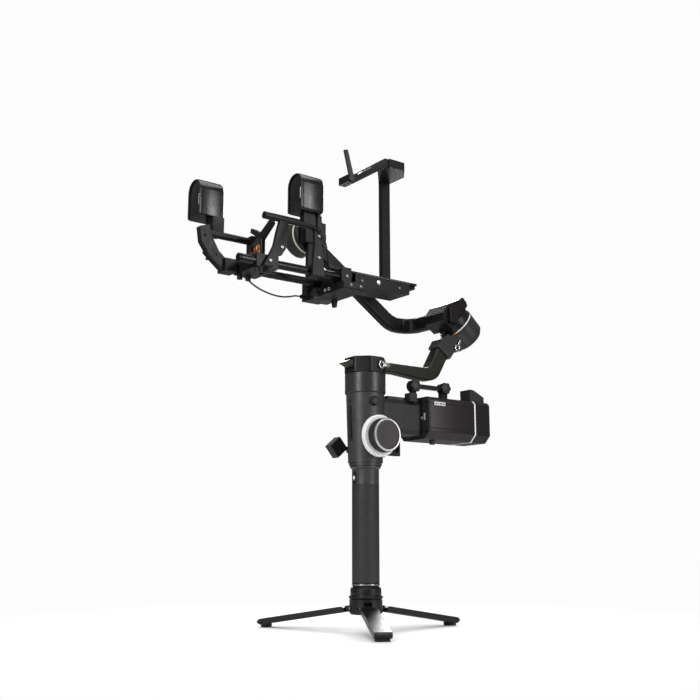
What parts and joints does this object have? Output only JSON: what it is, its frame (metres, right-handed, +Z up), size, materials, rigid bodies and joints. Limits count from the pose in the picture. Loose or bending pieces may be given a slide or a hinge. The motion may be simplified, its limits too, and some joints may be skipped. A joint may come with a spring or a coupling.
{
  "type": "gimbal stabilizer",
  "caption": "Motorised three-axis camera gimbal on a folding table tripod, with focus wheel, lens motors on rods, quick-release plate, power box and phone holder.",
  "frame": {"origin": "on the column axis at the level the tripod feet stand on", "axes": "+Z up along the column, -X towards the lens side, -Y towards the focus wheel, +X towards the power box"},
  "size_m": [0.6215, 0.3828, 0.893],
  "materials": {
    "black_aluminium": "satin anodised",
    "dark_plastic": "fine texture",
    "motor_shell": "satin",
    "black_rubber": "matte",
    "steel": "satin",
    "silver_levers": "polished",
    "white_ring": "satin",
    "grey_cap": "satin",
    "green_board": "semi-gloss",
    "rod_tube": "anodised"
  },
  "bodies": {
    "base": {"tripod_hub": "black_aluminium", "leg_pins": "steel", "lower_collar": "black_aluminium", "grip_tube": "black_aluminium", "grip_sleeve": "black_rubber", "column_bolt": "steel", "neck_collar": "black_aluminium", "body_shell_near": "dark_plastic", "body_shell_far": "dark_plastic", "control_board": "green_board", "pan_housing": "motor_shell", "pan_stator": "steel", "box_mount": "dark_plastic", "battery_box": "black_aluminium", "box_covers": "dark_plastic", "battery_cells": "steel", "handle_mount": "dark_plastic", "mini_arm": "black_aluminium", "phone_mount": "dark_plastic"},
    "leg_front_near": {"leg_1": "black_aluminium", "foot_pad_1": "black_rubber"},
    "leg_rear": {"leg_2": "black_aluminium", "foot_pad_2": "black_rubber"},
    "leg_front_far": {"leg_3": "black_aluminium", "foot_pad_3": "black_rubber"},
    "release_latch": {"release_latch": "dark_plastic"},
    "trigger": {"trigger": "dark_plastic"},
    "start_button": {"start_button": "dark_plastic"},
    "phone_jaw": {"phone_jaw": "dark_plastic"},
    "arm_knob": {"arm_knob": "dark_plastic"},
    "focus_wheel": {"wheel_ring": "white_ring", "focus_knob": "black_rubber", "knob_cap": "grey_cap"},
    "pan_head": {"pan_head": "black_aluminium", "pan_rotor": "steel"},
    "pan_lever": {"pan_lever": "silver_levers"},
    "pan_arm": {"pan_arm": "black_aluminium", "roll_housing": "motor_shell"},
    "roll_lever": {"roll_lever": "silver_levers"},
    "roll_head": {"roll_rotor": "black_aluminium"},
    "roll_arm": {"roll_arm": "black_aluminium", "tilt_housing": "motor_shell"},
    "tilt_head": {"tilt_rotor": "black_aluminium"},
    "tilt_arm": {"tilt_arm": "black_aluminium", "base_clamp": "black_aluminium"},
    "plate_lever": {"plate_lever": "steel"},
    "camera_plate": {"top_plate": "black_aluminium", "rod_clamp": "black_aluminium", "rods": "rod_tube", "support_clamp": "black_aluminium", "near_frame": "black_aluminium", "far_frame": "black_aluminium", "lens_motors": "dark_plastic", "top_bracket": "black_aluminium", "cable_front": "black_rubber", "cable_rear": "black_rubber", "cable_plugs": "dark_plastic"},
    "lens_support": {"lens_support": "steel"},
    "drive_gear": {"drive_gear": "dark_plastic"},
    "top_lever": {"top_lever": "steel"}
  },
  "joints": [
    {"name": "leg_front_near_fold", "type": "hinge", "parent": "base", "child": "leg_front_near", "pos_m": [-0.012, -0.02079, 0.0387], "axis": [0.866, -0.5, 0], "range_deg": [0, 80]},
    {"name": "leg_rear_fold", "type": "hinge", "parent": "base", "child": "leg_rear", "pos_m": [0.024, 0, 0.0387], "axis": [0, 1, 0], "range_deg": [0, 80]},
    {"name": "leg_front_far_fold", "type": "hinge", "parent": "base", "child": "leg_front_far", "pos_m": [-0.012, 0.02079, 0.0387], "axis": [-0.866, -0.5, 0], "range_deg": [0, 80]},
    {"name": "release_latch_press", "type": "slide", "parent": "base", "child": "release_latch", "axis": [1, 0, 0], "range_m": [0, 0.0015], "stiffness_N_per_m": 400},
    {"name": "trigger_pull", "type": "hinge", "parent": "base", "child": "trigger", "pos_m": [-0.033, 0, 0.397], "axis": [0, -1, 0], "range_deg": [0, 4], "stiffness_Nm_per_rad": 0.5},
    {"name": "start_button_press", "type": "slide", "parent": "base", "child": "start_button", "axis": [0, 1, 0], "range_m": [0, 0.0015], "stiffness_N_per_m": 400},
    {"name": "phone_jaw_slide", "type": "slide", "parent": "base", "child": "phone_jaw", "axis": [-1, 0, 0], "range_m": [0, 0.02], "stiffness_N_per_m": 200},
    {"name": "arm_knob_turn", "type": "hinge", "parent": "base", "child": "arm_knob", "pos_m": [0.096, -0.031, 0.444], "axis": [0, -1, 0], "continuous": true},
    {"name": "focus_wheel_turn", "type": "hinge", "parent": "base", "child": "focus_wheel", "pos_m": [0, -0.05, 0.342], "axis": [0, -1, 0], "continuous": true},
    {"name": "pan", "type": "hinge", "parent": "base", "child": "pan_head", "pos_m": [0, 0, 0.46], "axis": [0, 0, 1], "continuous": true},
    {"name": "pan_lever_turn", "type": "hinge", "parent": "pan_head", "child": "pan_lever", "pos_m": [0.008, -0.037, 0.4742], "axis": [0, -1, 0], "range_deg": [0, 90]},
    {"name": "pan_arm_slide", "type": "slide", "parent": "pan_head", "child": "pan_arm", "axis": [1, 0, 0], "range_m": [-0.025, 0.015]},
    {"name": "roll_lever_turn", "type": "hinge", "parent": "pan_arm", "child": "roll_lever", "pos_m": [0.21708, -0.016, 0.53363], "axis": [0, -1, 0], "range_deg": [-60, 30]},
    {"name": "roll", "type": "hinge", "parent": "pan_arm", "child": "roll_head", "pos_m": [0.228, 0, 0.588], "axis": [0.7986, 0, -0.6018], "range_deg": [-95, 240]},
    {"name": "roll_arm_slide", "type": "slide", "parent": "roll_head", "child": "roll_arm", "axis": [0, 1, 0], "range_m": [-0.02, 0.01]},
    {"name": "tilt", "type": "hinge", "parent": "roll_arm", "child": "tilt_head", "pos_m": [-0.074, 0.08, 0.737], "axis": [0, 1, 0], "range_deg": [-50, 90]},
    {"name": "tilt_arm_slide", "type": "slide", "parent": "tilt_head", "child": "tilt_arm", "axis": [0, 0, 1], "range_m": [-0.02, 0.025]},
    {"name": "plate_lever_turn", "type": "hinge", "parent": "tilt_arm", "child": "plate_lever", "pos_m": [-0.026, 0.026, 0.62], "axis": [0, 0, -1], "range_deg": [0, 60]},
    {"name": "plate_slide", "type": "slide", "parent": "tilt_arm", "child": "camera_plate", "axis": [1, 0, 0], "range_m": [-0.025, 0]},
    {"name": "lens_support_lift", "type": "slide", "parent": "camera_plate", "child": "lens_support", "axis": [0, 0, 1], "range_m": [0, 0.02]},
    {"name": "drive_gear_turn", "type": "hinge", "parent": "camera_plate", "child": "drive_gear", "pos_m": [-0.13, -0.03, 0.764], "axis": [1, 0, 0], "continuous": true},
    {"name": "top_lever_turn", "type": "hinge", "parent": "camera_plate", "child": "top_lever", "pos_m": [-0.044, -0.017, 0.831], "axis": [0, -1, 0], "range_deg": [-15, 45]}
  ]
}
